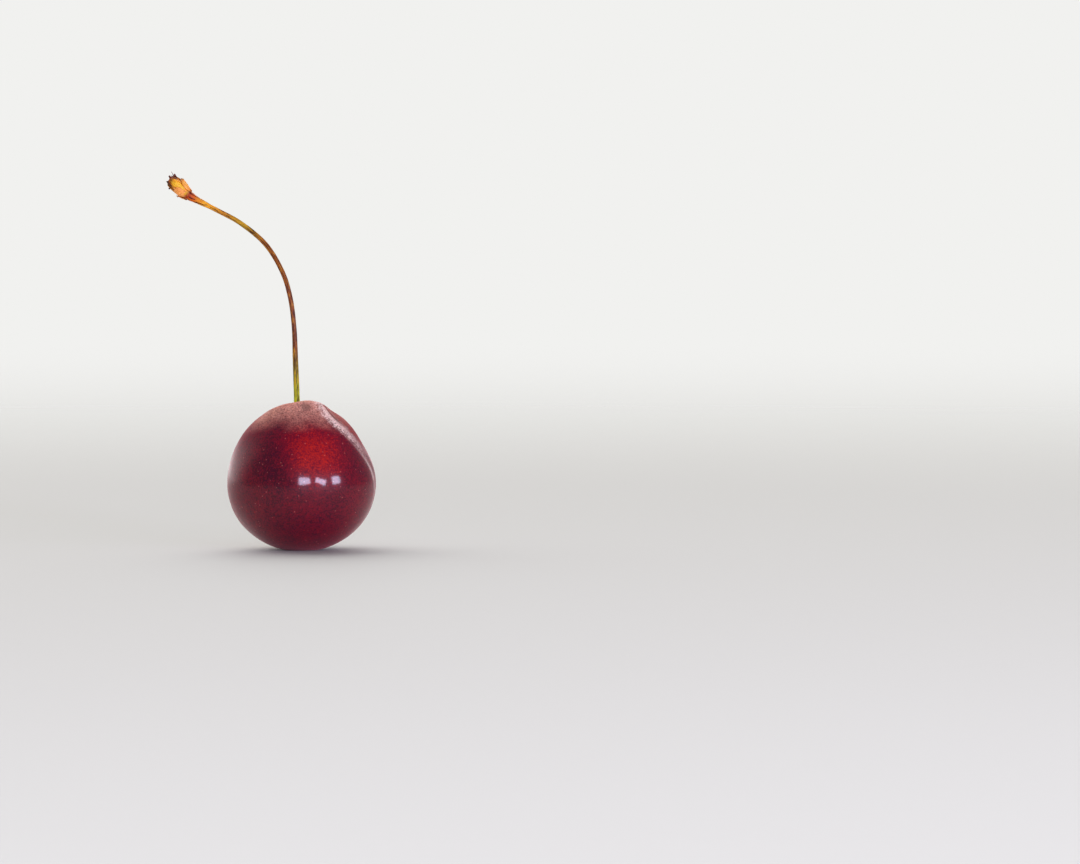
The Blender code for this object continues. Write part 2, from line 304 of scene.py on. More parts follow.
# Sweet cherry skin: thin waxed cuticle over dark red, slightly clear flesh. It gives the eye a deep
# crimson with a painted pool of light on the front, crisp window glints, and a dusty bloom round the top.
skin = {
    "shade": "#3e001a", "red": "#74041e", "paintedLight": "#b01a16", "bloom": "#dc9c86", "paintedHighlight": "#ecc9bb",
    "creaseShadow": "#5a1c14", "lobe": "#9c4a3c", "hollow": "#8a5a30", "pore": "#c46a60", "scar": "#6b4a2c",
    "smudge": "#4e3a34",
    # size in mm, detail, roughness and distortion of the patches, the mottle and the grain, and the
    # share each has in the depth of the red. A finer grain wouldn't show, so it is coarser than real
    "patterns": [(5.5, 3.0, 0.5, 0.4, 0.4), (0.8, 3.0, 0.6, 0.0, 0.5), (0.28, 2.0, 0.6, 0.0, 1.5)],
    "paintedLightShare": 0.62, "poreMm": 1.0,
    # place, then from and to how far off it changes, and from what to what
    # the first spot is a painted pool of light on the front, where the window light falls; it lifts the red
    # to its brightest colour
    "spots": {"paintedLight": ((2.4, -11.0, 17.0), 0.5, 8.6, 1.0, 0.0),
              # the shade spot is painted shade on the left, the side away from the window
              "shade": ((-5.0, -10.0, 14.6), 0.0, 5.2, -0.36, -0.14),
              "smudge": ((0.8, -4.6, 24.2), 0.3, 1.3, 0.55, 0.0)},
    # between these heights in mm the painted highlight band and the lobe, the matt wax and the painted
    # crease shadow come in
    "rises": {"bandAndLobe": (13.0, 22.0), "wax": (13.5, 20.0), "creaseShadow": (20.0, 22.5)},
    "bloomStart": 22.2, "bloomFull": 28.8, "bloomRagged": 5.0,
    # across the furrow, in mm, with the mottle and the grain making the edges ragged
    "bandPlace": 2.75, "bandCore": 0.1, "bandReach": 1.8, "edgeMottle": 2.0, "edgeGrain": 2.2,
    "lobeStart": 3.6, "lobeFull": 4.6, "lobeFade": 5.5, "lobeEnd": 8.5,
    "sockets": {"IOR": 1.4, "Specular IOR Level": 0.12, "Subsurface Weight": 0.2,
                "Subsurface Radius": (1.0, 0.12, 0.08), "Subsurface Scale": 1.5 * mm,
                "Coat Roughness": 0.1, "Sheen Weight": 0.22, "Sheen Roughness": 0.45,
                "Sheen Tint": hexColour("#f86a78")},
}


def skinMaterial():
    material, tree, shader = newMaterial("waxedCherrySkin", skin["sockets"])
    inMm = placeInMm(tree)
    height = addNode(tree, "SeparateXYZ", [inMm]).outputs[2]
    spots = {}
    for name, (place, near, far, inside, outside) in skin["spots"].items():
        away = addNode(tree, "VectorMath", [inMm, place], operation="DISTANCE")
        spots[name] = addNode(tree, "MapRange",
                              [away.outputs["Value"], near, far, inside, outside],
                              interpolation_type="SMOOTHSTEP")
    rises = {}
    for name, (start, full) in skin["rises"].items():
        rises[name] = addNode(tree, "MapRange", [height, start, full], interpolation_type="SMOOTHSTEP")

    # how deep the red is: painted shade on the left, away from the window, broken up by the patterns, and
    # brightest in the painted pool of light
    patterns = []
    fine = spots["shade"]
    for size, detail, roughness, distortion, share in skin["patterns"]:
        patterns.append(addNode(tree, "TexNoise",
                                {"Vector": inMm, "Scale": 1 / size, "Detail": detail,
                                 "Roughness": roughness, "Distortion": distortion}))
        fine = addNode(tree, "Math", [patterns[-1], share, fine], operation="MULTIPLY_ADD")
    patches, mottle, grain = patterns
    lit = addNode(tree, "Math", [spots["paintedLight"], skin["paintedLightShare"], fine], operation="MULTIPLY_ADD")
    depth = addNode(tree, "MapRange", [lit, 0.82, 1.84])
    ramp = addNode(tree, "ValToRGB", [depth])
    ramp.color_ramp.elements[0].color = hexColour(skin["shade"])
    ramp.color_ramp.elements[1].color = hexColour(skin["paintedLight"])
    ramp.color_ramp.elements.new(0.5).color = hexColour(skin["red"])

    # lenticels: pale pinprick pores
    pores = addNode(tree, "TexVoronoi", {"Vector": inMm, "Scale": 1 / skin["poreMm"], "Randomness": 1.0})
    poreMask = addNode(tree, "MapRange", [pores.outputs["Distance"], 0.06, 0.15, 0.4, 0.0],
                       interpolation_type="SMOOTHSTEP")

    # waxy bloom that the shoulders keep, thicker towards the top and broken up by the grain
    bloomEdge = addNode(tree, "Math", [patches, skin["bloomRagged"], height], operation="MULTIPLY_ADD")
    bloomRise = addNode(tree, "MapRange", [bloomEdge, skin["bloomStart"], skin["bloomFull"]],
                        interpolation_type="SMOOTHSTEP")
    bloomBreak = addNode(tree, "MapRange", [fine, 0.75, 1.35, 0.35, 1.35])
    bloomMask = addNode(tree, "Math", [bloomRise, bloomBreak], operation="MULTIPLY", use_clamp=True)

    # the suture: a dark painted crease shadow, a pale band of painted highlight beyond it, and then the
    # browner lobe
    side = addNode(tree, "Attribute", attribute_name="furrowSide").outputs["Fac"]
    mottled = addNode(tree, "Math", [mottle, skin["edgeMottle"], side], operation="MULTIPLY_ADD")
    ragged = addNode(tree, "Math", [grain, skin["edgeGrain"], mottled], operation="MULTIPLY_ADD")
    bandAndLobeFade = addNode(tree, "Math", [rises["bandAndLobe"], bloomBreak], operation="MULTIPLY")
    lobeStart = addNode(tree, "MapRange", [ragged, skin["lobeStart"], skin["lobeFull"]],
                        interpolation_type="SMOOTHSTEP")
    lobeEnd = addNode(tree, "MapRange", [ragged, skin["lobeFade"], skin["lobeEnd"], 0.6, 0.0],
                      interpolation_type="SMOOTHSTEP")
    lobeBoth = addNode(tree, "Math", [lobeStart, lobeEnd], operation="MULTIPLY")
    lobeMask = addNode(tree, "Math", [lobeBoth, bandAndLobeFade], operation="MULTIPLY", use_clamp=True)
    # the pale band is a painted highlight where the front shoulder by the furrow catches the light; it
    # fades out lower down
    bandFrom = addNode(tree, "Math", [ragged, skin["bandPlace"]], operation="SUBTRACT")
    bandOff = addNode(tree, "Math", [bandFrom], operation="ABSOLUTE")
    bandShare = addNode(tree, "MapRange",
                        [bandOff, skin["bandCore"], skin["bandReach"], 0.95, 0.0],
                        interpolation_type="SMOOTHSTEP")
    paintedHighlightMask = addNode(tree, "Math", [bandShare, bandAndLobeFade], operation="MULTIPLY", use_clamp=True)
    # the dark crease colour is painted shade along the suture's crease, in the upper part only
    creaseFrom = addNode(tree, "Math", [side, fruit["Crease place"]], operation="SUBTRACT")
    creaseOff = addNode(tree, "Math", [creaseFrom], operation="ABSOLUTE")
    creaseShare = addNode(tree, "MapRange", [creaseOff, 0.08, 0.42, 0.75, 0.0],
                          interpolation_type="SMOOTHSTEP")
    creaseShadowMask = addNode(tree, "Math", [creaseShare, rises["creaseShadow"]], operation="MULTIPLY")

    # the tan hollow and the dry scar
    hollow = addNode(tree, "Attribute", attribute_name="hollow").outputs["Fac"]
    hollowMask = addNode(tree, "MapRange", [hollow, 0.8, 1.0, 0.0, 0.75], interpolation_type="SMOOTHSTEP")
    scar = addNode(tree, "Attribute", attribute_name="scar").outputs["Fac"]
    scarMask = addNode(tree, "MapRange", [scar, 0.3, 0.9])

    colour = layColours(tree, ramp.outputs[0], [
        (skin["pore"], poreMask), (skin["bloom"], bloomMask), (skin["lobe"], lobeMask),
        (skin["paintedHighlight"], paintedHighlightMask), (skin["creaseShadow"], creaseShadowMask), (skin["smudge"], spots["smudge"]),
        (skin["hollow"], hollowMask), (skin["scar"], scarMask)])

    # the wax is matt on the shoulders, and handling has polished the belly
    polish = addNode(tree, "MapRange", [mottle, 0.3, 0.7, 0.3, 0.42])
    dull = addNode(tree, "Math", [rises["wax"], 0.35, polish], operation="MULTIPLY_ADD")
    gloss = addNode(tree, "MapRange", {0: rises["wax"], 3: 0.5, 4: 0.03})
    bumps = addNode(tree, "Math", [grain, 0.5, mottle], operation="MULTIPLY_ADD")
    bump = addNode(tree, "Bump", {"Strength": 0.05, "Distance": 0.05 * mm, "Height": bumps})
    feed(tree, shader, {"Base Color": colour, "Roughness": dull, "Coat Weight": gloss, "Normal": bump})
    return material


fruitPiece = growMesh("cherryFruit", bpy.data.meshes.new("fruitSeed"), fruitTree(skinMaterial()), fruit)
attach(fruitPiece, "root")
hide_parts("fruit")


# the stalk

stalk = {
    # the middle line from the foot to the broken end, as the frame has it
    "route": [(-0.7, 0.0, 21.3), (-0.8, 0.0, 25.4), (-1.0, 0.1, 32.0), (-1.2, 0.3, 37.6),
              (-1.9, 0.6, 42.7), (-3.3, 0.9, 47.0), (-6.0, 1.3, 51.4), (-10.1, 1.8, 54.9),
              (-14.1, 2.2, 57.1), (-18.4, 2.6, 59.3), (-20.2, 2.8, 60.8), (-22.0, 3.0, 62.3)],
    # distance from the foot, radius
    "foot": [(0.0, 1.12), (0.6, 1.16), (0.85, 0.96), (1.3, 0.74), (2.35, 0.53), (5.35, 0.48),
             (18.35, 0.39)],
    # distance back from the broken end, radius
    "knob": [(0.0, 0.6), (0.5, 0.84), (1.4, 1.02), (2.5, 1.0), (3.9, 0.84), (4.7, 0.72),
             (5.4, 0.6), (6.2, 0.52), (8.5, 0.39)],
    "stepMm": 0.1,
    "tree": {"Sides": 28, "Rib count": 5.0, "Rib depth": 0.025, "Rib wind": 0.06, "Fibre depth": 0.035,
             "Fibre length": 2.2, "Lump depth": 0.10, "Lump size": 0.9, "Length": 51.0, "Knob": 5.6},
}


def smoothChain(points, stepMm):
    # Catmull-Rom through the points, resampled to even steps
    padded = [points[0] * 2 - points[1]] + points + [points[-1] * 2 - points[-2]]
    dense = []
    for before, start, end, after in zip(padded, padded[1:], padded[2:], padded[3:]):
        steps = max(2, int((end - start).length / (stepMm / 4)))
        for step in range(steps):
            t = step / steps
            dense.append(0.5 * (2 * start + (end - before) * t
                                + (2 * before - 5 * start + 4 * end - after) * t ** 2
                                + (3 * start - before - 3 * end + after) * t ** 3))
    dense.append(points[-1].copy())
    chain = [dense[0]]
    distances = [0.0]
    walked = 0.0
    for start, end in zip(dense, dense[1:]):
        walked += (end - start).length
        if walked - distances[-1] >= stepMm or end is dense[-1]:
            chain.append(end)
            distances.append(walked)
    return chain, distances


def easedRow(table, x):
    # the value at x from rows of (x, value), eased between rows
    if x <= table[0][0]:
        return table[0][1]
    for (x0, v0), (x1, v1) in zip(table, table[1:]):
        if x <= x1:
            t = (x - x0) / (x1 - x0)
            return v0 + (v1 - v0) * t * t * (3 - 2 * t)
    return table[-1][1]


stalkChain, stalkDistances = smoothChain([Vector(p) for p in stalk["route"]], stalk["stepMm"])
stalkLength = stalkDistances[-1]
stalk["tree"]["Length"] = stalkLength


def stalkCurve():
    curve = bpy.data.curves.new("stalkLine", "CURVE")
    curve.dimensions = "3D"
    spline = curve.splines.new("POLY")
    spline.points.add(len(stalkChain) - 1)
    for point, place, distance in zip(spline.points, stalkChain, stalkDistances):
        point.co = (*(place * mm), 1.0)
        if distance < stalkLength / 2:
            point.radius = easedRow(stalk["foot"], distance) * mm
        else:
            point.radius = easedRow(stalk["knob"], stalkLength - distance) * mm
    return curve


def placeRound(tree, around, along, length):
    # the turn, and a place on a cylinder, so that what is drawn out along the stalk closes round it
    turn = addNode(tree, "Math", [around, 2 * math.pi], operation="MULTIPLY")
    cosTurn = addNode(tree, "Math", [turn], operation="COSINE")
    sinTurn = addNode(tree, "Math", [turn], operation="SINE")
    drawn = addNode(tree, "Math", [along, length], operation="DIVIDE")
    return turn, addNode(tree, "CombineXYZ", [cosTurn, sinTurn, drawn])


def stalkTree(material):
    tree, sizes, end = newTree("stalkShape", stalk["tree"])
    line = tree.nodes["Group Input"].outputs["Geometry"]
    along = addNode(tree, "GeometryNodeSplineParameter").outputs["Length"]
    alongMm = addNode(tree, "Math", [along, 1 / mm], operation="MULTIPLY")
    marked = addNode(tree, "GeometryNodeStoreNamedAttribute",
                     {"Geometry": line, "Name": "along", "Value": alongMm})
    ring = addNode(tree, "GeometryNodeCurvePrimitiveCircle",
                   {"Resolution": sizes["Sides"], "Radius": 1.0}, mode="RADIUS")
    around = addNode(tree, "GeometryNodeSplineParameter").outputs["Factor"]
    ringMarked = addNode(tree, "GeometryNodeStoreNamedAttribute",
                         {"Geometry": ring, "Name": "around", "Value": around})
    thickness = addNode(tree, "GeometryNodeInputRadius")
    tube = addNode(tree, "GeometryNodeCurveToMesh",
                   {"Curve": marked, "Profile Curve": ringMarked, "Scale": thickness,
                    "Fill Caps": True})

    # fibres: noise drawn out along the stalk
    aroundHere = addNode(tree, "GeometryNodeInputNamedAttribute", {"Name": "around"})
    alongHere = addNode(tree, "GeometryNodeInputNamedAttribute", {"Name": "along"})
    turn, fibrePlace = placeRound(tree, aroundHere, alongHere, sizes["Fibre length"])
    fibreNoise = addNode(tree, "TexNoise",
                         {"Vector": fibrePlace, "Scale": 2.2, "Detail": 3.0, "Roughness": 0.6})
    fibreLevel = addNode(tree, "Math", [fibreNoise, 0.5], operation="SUBTRACT")
    fibre = addNode(tree, "Math", [fibreLevel, sizes["Fibre depth"]], operation="MULTIPLY")
    # ribs that wind slowly round it
    wind = addNode(tree, "Math", [alongHere, sizes["Rib wind"], turn], operation="MULTIPLY_ADD")
    ribTurn = addNode(tree, "Math", [wind, sizes["Rib count"]], operation="MULTIPLY")
    ribWave = addNode(tree, "Math", [ribTurn], operation="COSINE")
    rib = addNode(tree, "Math", [ribWave, sizes["Rib depth"], fibre], operation="MULTIPLY_ADD")
    # and lumps on the knob
    placeHere = addNode(tree, "GeometryNodeInputPosition")
    placeMm = addNode(tree, "VectorMath", {0: placeHere, "Scale": 1 / mm}, operation="SCALE")
    lumpScale = addNode(tree, "Math", [1.0, sizes["Lump size"]], operation="DIVIDE")
    lumpNoise = addNode(tree, "TexNoise", {"Vector": placeMm, "Scale": lumpScale, "Detail": 2.0})
    lumpLevel = addNode(tree, "Math", [lumpNoise, 0.5], operation="SUBTRACT")
    lump = addNode(tree, "Math", [lumpLevel, sizes["Lump depth"]], operation="MULTIPLY")
    fromEnd = addNode(tree, "Math", [sizes["Length"], alongHere], operation="SUBTRACT")
    onKnob = addNode(tree, "MapRange", {0: fromEnd, 2: sizes["Knob"], 3: 1.0, 4: 0.0},
                     interpolation_type="SMOOTHSTEP")
    knobLump = addNode(tree, "Math", [lump, onKnob, rib], operation="MULTIPLY_ADD")
    push = addNode(tree, "Math", [knobLump, mm], operation="MULTIPLY")
    outward = addNode(tree, "GeometryNodeInputNormal")
    offset = addNode(tree, "VectorMath", {0: outward, "Scale": push}, operation="SCALE")
    shaped = addNode(tree, "GeometryNodeSetPosition", {"Geometry": tube, "Offset": offset})
    merged = addNode(tree, "GeometryNodeMergeByDistance", {"Geometry": shaped, "Distance": 0.001 * mm})
    endTree(tree, merged, material, end)
    return tree


# Cherry stalk: a living, fibrous stem, green where it drew sap last and drying to bronze brown. It gives
# the eye an olive foot, streaked brown above, and a golden, resinous knob.
stalkLook = {
    # distance along in mm, colour
    "bands": [(0.0, "#6a4a1a"), (1.4, "#9a9c1c"), (3.5, "#b4c01e"), (6.0, "#a8a81a"), (8.5, "#94801c"),
              (12.5, "#7c3e0a"), (20.0, "#823c06"), (32.0, "#92500c"), (36.0, "#b08a14"),
              (40.0, "#c88014"), (43.5, "#ffae12"), (45.6, "#d05a08"), (46.4, "#a83202"),
              (47.4, "#c05008"), (48.5, "#f8a01c"), (50.8, "#9a3c0a")],
    "streakMm": 3.0,
    # colour, and its strength between two levels of the streaks' noise
    "streaks": [("#3c0d04", 0.5, 0.62, 0.0, 0.9), ("#e0a028", 0.34, 0.46, 0.6, 0.0)],
    "sockets": {"Specular IOR Level": 0.25, "Subsurface Weight": 0.12,
                "Subsurface Radius": (1.0, 0.6, 0.2), "Subsurface Scale": 0.4 * mm},
}


def stalkMaterial():
    material, tree, shader = newMaterial("fibrousStalk", stalkLook["sockets"])
    along = addNode(tree, "Attribute", attribute_name="along").outputs["Fac"]
    around = addNode(tree, "Attribute", attribute_name="around").outputs["Fac"]
    share = addNode(tree, "Math", [along, stalkLength], operation="DIVIDE")
    ramp = addNode(tree, "ValToRGB", [share])
    elements = ramp.color_ramp.elements
    elements.remove(elements[1])
    elements[0].position = 0.0
    elements[0].color = hexColour(stalkLook["bands"][0][1])
    for distance, shade in stalkLook["bands"][1:]:
        elements.new(distance / stalkLength).color = hexColour(shade)

    place = placeRound(tree, around, along, stalkLook["streakMm"])[1]
    streaks = addNode(tree, "TexNoise", {"Vector": place, "Scale": 1.9, "Detail": 4.0, "Roughness": 0.6})
    layers = []
    for shade, low, high, before, after in stalkLook["streaks"]:
        mask = addNode(tree, "MapRange", [streaks, low, high, before, after],
                       interpolation_type="SMOOTHSTEP")
        layers.append((shade, mask))
    colour = layColours(tree, ramp.outputs[0], layers)
    rough = addNode(tree, "MapRange", {0: streaks, 3: 0.42, 4: 0.62})
    bump = addNode(tree, "Bump", {"Strength": 0.4, "Distance": 0.04 * mm, "Height": streaks})
    feed(tree, shader, {"Base Color": colour, "Roughness": rough, "Normal": bump})
    return material


stalkPiece = growMesh("stalk", stalkCurve(), stalkTree(stalkMaterial()), stalk["tree"])
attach(stalkPiece, "root")
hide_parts("stem")


# the dry scales round the broken end

knobLength = 4.6
knobFoot = next(p for p, d in zip(stalkChain, stalkDistances) if d >= stalkLength - knobLength)
knobAxis = (stalkChain[-1] - knobFoot).normalized()
knobUpper = Vector((0, 1, 0)).cross(knobAxis).normalized()
knobFront = knobUpper.cross(knobAxis).normalized()

# mm and degrees; turn 0 faces the front, 90 the upper side. Tone runs from gold, 0, to pale peach, 1
scaleRows = {
    "budScale1": {"Turn": 5.0, "Half angle": 56.0, "Start": 0.35, "Reach": 4.15, "Layer": 0.0,
                  "Curl": 0.0, "Tone": 0.1, "Scorch": 0.5},
    "budScale2": {"Turn": 125.0, "Half angle": 54.0, "Start": 0.45, "Reach": 4.3, "Layer": 0.0,
                  "Curl": 0.08, "Tone": 0.2, "Scorch": 1.0},
    "budScale3": {"Turn": 245.0, "Half angle": 56.0, "Start": 0.4, "Reach": 4.2, "Layer": 0.0,
                  "Curl": 0.05, "Tone": 0.3, "Scorch": 0.9},
    "budScale4": {"Turn": 63.0, "Half angle": 40.0, "Start": 0.3, "Reach": 2.75, "Layer": 1.0,
                  "Curl": 0.25, "Tone": 0.7, "Scorch": 0.55},
    "budScale5": {"Turn": 249.0, "Half angle": 32.0, "Start": 0.1, "Reach": 1.9, "Layer": 1.0,
                  "Curl": 0.25, "Tone": 0.4, "Scorch": 1.0},
    "budScale6": {"Turn": 329.0, "Half angle": 37.0, "Start": 0.45, "Reach": 2.6, "Layer": 1.0,
                  "Curl": 0.04, "Tone": 1.0, "Scorch": 0.0},
}
scaleShape = {"gap": 0.06, "thick": 0.13, "liftedBy": 0.6, "baseWidth": 1.25, "tipWidth": 0.75,
              "curlFrom": 0.6, "crumple": 0.06, "seedStep": 7.3, "around": 64, "rings": 56}


def scaleTree(material):
    tree, sizes, end = newTree("budScaleShape", {**scaleRows["budScale1"], "Seed": 1})
    # a ball turned into a leaf with thin rims: its top is the tip, and its -Y side faces out
    ball = addNode(tree, "GeometryNodeMeshUVSphere",
                   {"Segments": scaleShape["around"], "Rings": scaleShape["rings"], "Radius": 1.0})
    place = addNode(tree, "GeometryNodeInputPosition")
    across, inner, lift = addNode(tree, "SeparateXYZ", [place]).outputs
    along = addNode(tree, "MapRange", [lift, -1.0, 1.0])
    marked = ball
    for key, value in (("across", across), ("along", along.outputs[0]), ("tone", sizes["Tone"]),
                       ("scorch", sizes["Scorch"])):
        marked = addNode(tree, "GeometryNodeStoreNamedAttribute",
                         {"Geometry": marked, "Name": key, "Value": value})

    # wider below its middle, with a nibbled rim
    width = addNode(tree, "MapRange", {0: along, 3: scaleShape["baseWidth"], 4: scaleShape["tipWidth"]})
    seedStep = addNode(tree, "Math", [sizes["Seed"], scaleShape["seedStep"]], operation="MULTIPLY")
    leafPlace = addNode(tree, "CombineXYZ", [across, along, seedStep])
    nibbles = addNode(tree, "TexNoise", {"Vector": leafPlace, "Scale": 3.0, "Detail": 2.0})
    nibble = addNode(tree, "MapRange", [nibbles, 0.3, 0.7, 0.9, 1.02])
    ragged = addNode(tree, "Math", [width, nibble], operation="MULTIPLY")
    # the tip is torn into a few teeth
    teethPlace = addNode(tree, "CombineXYZ", {0: across, 2: seedStep})
    teeth = addNode(tree, "TexNoise", {"Vector": teethPlace, "Scale": 4.5, "Detail": 2.0})
    tooth = addNode(tree, "MapRange", [teeth, 0.35, 0.65, -0.45, 0.2])
    nearTip = addNode(tree, "Math", [along, 5.0], operation="POWER")
    torn = addNode(tree, "Math", [tooth, nearTip], operation="MULTIPLY")

    reachHere = addNode(tree, "Math", [along, sizes["Reach"], sizes["Start"]], operation="MULTIPLY_ADD")
    reach = addNode(tree, "Math", [reachHere, torn], operation="ADD")
    # the knob's radius at this reach, halved to fit the curve's square
    share = addNode(tree, "Math", [reachHere, knobLength], operation="DIVIDE")
    profile = addNode(tree, "FloatCurve", {1: share})
    curve = profile.mapping.curves[0]
    rows = [(step / 10, easedRow(stalk["knob"], knobLength * (1 - step / 10)) / 2) for step in range(11)]
    curve.points[0].location = rows[0]
    curve.points[1].location = rows[-1]
    for row in rows[1:-1]:
        curve.points.new(*row)
    profile.mapping.update()
    knobRadius = addNode(tree, "Math",
                         [profile, 2.0, scaleShape["gap"] + scaleShape["thick"] / 2],
                         operation="MULTIPLY_ADD")
    # an outer scale is grown on at its foot and lifts off from there
    lifted = addNode(tree, "MapRange",
                     {0: along, 2: scaleShape["liftedBy"], 4: scaleShape["thick"] + scaleShape["gap"]},
                     interpolation_type="SMOOTHSTEP")
    layered = addNode(tree, "Math", [sizes["Layer"], lifted, knobRadius], operation="MULTIPLY_ADD")
    faced = addNode(tree, "Math", [inner, -scaleShape["thick"] / 2, layered], operation="MULTIPLY_ADD")
    # the last two fifths curl out
    curlShare = addNode(tree, "MapRange", [along, scaleShape["curlFrom"], 1.0])
    curlSquare = addNode(tree, "Math", [curlShare, curlShare], operation="MULTIPLY")
    curled = addNode(tree, "Math", [curlSquare, sizes["Curl"], faced], operation="MULTIPLY_ADD")
    # shallow crumples drawn out along it
    crumplePlace = addNode(tree, "VectorMath", [leafPlace, (3.2, 1.6, 1.0)], operation="MULTIPLY")
    crumples = addNode(tree, "TexNoise", {"Vector": crumplePlace, "Scale": 1.0, "Detail": 2.0})
    crumple = addNode(tree, "MapRange", [crumples, 0.3, 0.7, -scaleShape["crumple"], scaleShape["crumple"]])
    radius = addNode(tree, "Math", [curled, crumple], operation="ADD")

    halfTurn = addNode(tree, "Math", [sizes["Half angle"], ragged], operation="MULTIPLY")
    turnDegrees = addNode(tree, "Math", [across, halfTurn, sizes["Turn"]], operation="MULTIPLY_ADD")
    turn = addNode(tree, "Math", [turnDegrees], operation="RADIANS")
    cosTurn = addNode(tree, "Math", [turn], operation="COSINE")
    sinTurn = addNode(tree, "Math", [turn], operation="SINE")
    toFront = addNode(tree, "Math", [cosTurn, radius], operation="MULTIPLY")
    toUpper = addNode(tree, "Math", [sinTurn, radius], operation="MULTIPLY")
    # out of the knob's own directions, from its foot
    parts = [addNode(tree, "VectorMath", {0: tuple(direction), "Scale": amount}, operation="SCALE")
             for direction, amount in ((knobFront, toFront), (knobUpper, toUpper), (knobAxis, reach))]
    inMm = parts[0]
    for part in parts[1:] + [tuple(knobFoot)]:
        inMm = addNode(tree, "VectorMath", [inMm, part], operation="ADD")
    inMetres = addNode(tree, "VectorMath", {0: inMm, "Scale": mm}, operation="SCALE")
    shaped = addNode(tree, "GeometryNodeSetPosition", {"Geometry": marked, "Position": inMetres})
    endTree(tree, shaped, material, end)
    return tree


# Dry bud scale: a papery leaf stump, golden where light comes through, scorched brown at tip and rim. It
# gives the eye a warm glow crossed by fine brown veins.
scaleLook = {
    "gold": "#ff9a12", "light": "#ffbe26", "peach": "#ffa452", "vein": "#b8560a", "tip": "#3a0a06",
    "rim": "#9a4a10",
    "sockets": {"Roughness": 0.42, "Specular IOR Level": 0.25, "Subsurface Weight": 0.15,
                "Subsurface Radius": (1.0, 0.55, 0.15), "Subsurface Scale": 0.7 * mm},
}


def scaleMaterial():
    material, tree, shader = newMaterial("dryBudScale", scaleLook["sockets"])
    across, along, tone, scorch = [
        addNode(tree, "Attribute", attribute_name=name).outputs["Fac"]
        for name in ("across", "along", "tone", "scorch")]
    inMm = placeInMm(tree)
    blotches = addNode(tree, "TexNoise", {"Vector": inMm, "Scale": 0.9, "Detail": 1.0})
    pale = addNode(tree, "MapRange", [blotches, 0.42, 0.6], interpolation_type="SMOOTHSTEP")
    # veins run along it, drawn a third of a millimetre apart so that they show
    veinPlace = addNode(tree, "CombineXYZ", [across, along, tone])
    veinStretch = addNode(tree, "Mapping", {"Vector": veinPlace, "Scale": (3.0, 0.7, 3.0)})
    veins = addNode(tree, "TexNoise", {"Vector": veinStretch, "Scale": 1.0, "Detail": 1.0})
    veinMask = addNode(tree, "MapRange", [veins, 0.54, 0.62, 0.0, 0.6], interpolation_type="SMOOTHSTEP")
    # the rim is the ball's own outline: across, and along as measured from the middle
    middle = addNode(tree, "MapRange", {0: along, 3: -1.0, 4: 1.0})
    rimPlace = addNode(tree, "CombineXYZ", [across, middle])
    toRim = addNode(tree, "VectorMath", [rimPlace], operation="LENGTH").outputs["Value"]
    rimMask = addNode(tree, "MapRange", [toRim, 0.9, 1.0, 0.0, 0.85], interpolation_type="SMOOTHSTEP")
    # the tip is scorched, and the foot is stained where it grew from the stalk
    wander = addNode(tree, "Math", [blotches, 0.3, along], operation="MULTIPLY_ADD")
    tipMask = addNode(tree, "MapRange", [wander, 0.98, 1.1], interpolation_type="SMOOTHSTEP")
    burnt = addNode(tree, "Math", [tipMask, scorch], operation="MULTIPLY")
    footMask = addNode(tree, "MapRange", [wander, 0.2, 0.34, 0.8, 0.0], interpolation_type="SMOOTHSTEP")

    colour = layColours(tree, hexColour(scaleLook["gold"]), [
        (scaleLook["light"], pale), (scaleLook["peach"], tone), (scaleLook["vein"], veinMask),
        (scaleLook["rim"], rimMask), (scaleLook["tip"], burnt), (scaleLook["rim"], footMask)])
    bump = addNode(tree, "Bump", {"Strength": 0.5, "Distance": 0.05 * mm, "Height": veins})
    feed(tree, shader, {"Base Color": colour, "Normal": bump})
    return material


budTree = scaleTree(scaleMaterial())
for number, (name, row) in enumerate(scaleRows.items(), 1):
    budScale = growMesh(name, bpy.data.meshes.new(name), budTree, {**row, "Seed": number})
    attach(budScale, "root")
    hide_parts(f"bract_{number}")


# what is left of the torn fibres at the broken end

# mm and degrees in the knob's frame: turn 0 faces the front, 90 the upper side; splay tips them outwards
tornStubs = [
    {"turn": 90.0, "out": 0.25, "reach": -0.2, "length": 0.6, "width": 0.5, "splay": 8.0},
    {"turn": 96.0, "out": 0.85, "reach": -0.75, "length": 0.75, "width": 0.46, "splay": 25.0},
    {"turn": 84.0, "out": 0.8, "reach": -0.35, "length": 0.95, "width": 0.14, "splay": 22.0},
    {"turn": 262.0, "out": 0.5, "reach": -0.3, "length": 0.45, "width": 0.32, "splay": 20.0},
    {"turn": 272.0, "out": 0.95, "reach": -1.15, "length": 0.45, "width": 0.42, "splay": 70.0},
    {"turn": 20.0, "out": 0.5, "reach": -0.3, "length": 0.4, "width": 0.3, "splay": 25.0},
    {"turn": 150.0, "out": 0.5, "reach": -0.3, "length": 0.55, "width": 0.26, "splay": 15.0},
    {"turn": 205.0, "out": 0.6, "reach": -0.4, "length": 0.5, "width": 0.36, "splay": 30.0},
]
tornShape = {"Sides": 16, "Steps": 10, "Taper": 0.55, "Rag depth": 0.12, "Rag size": 0.32}


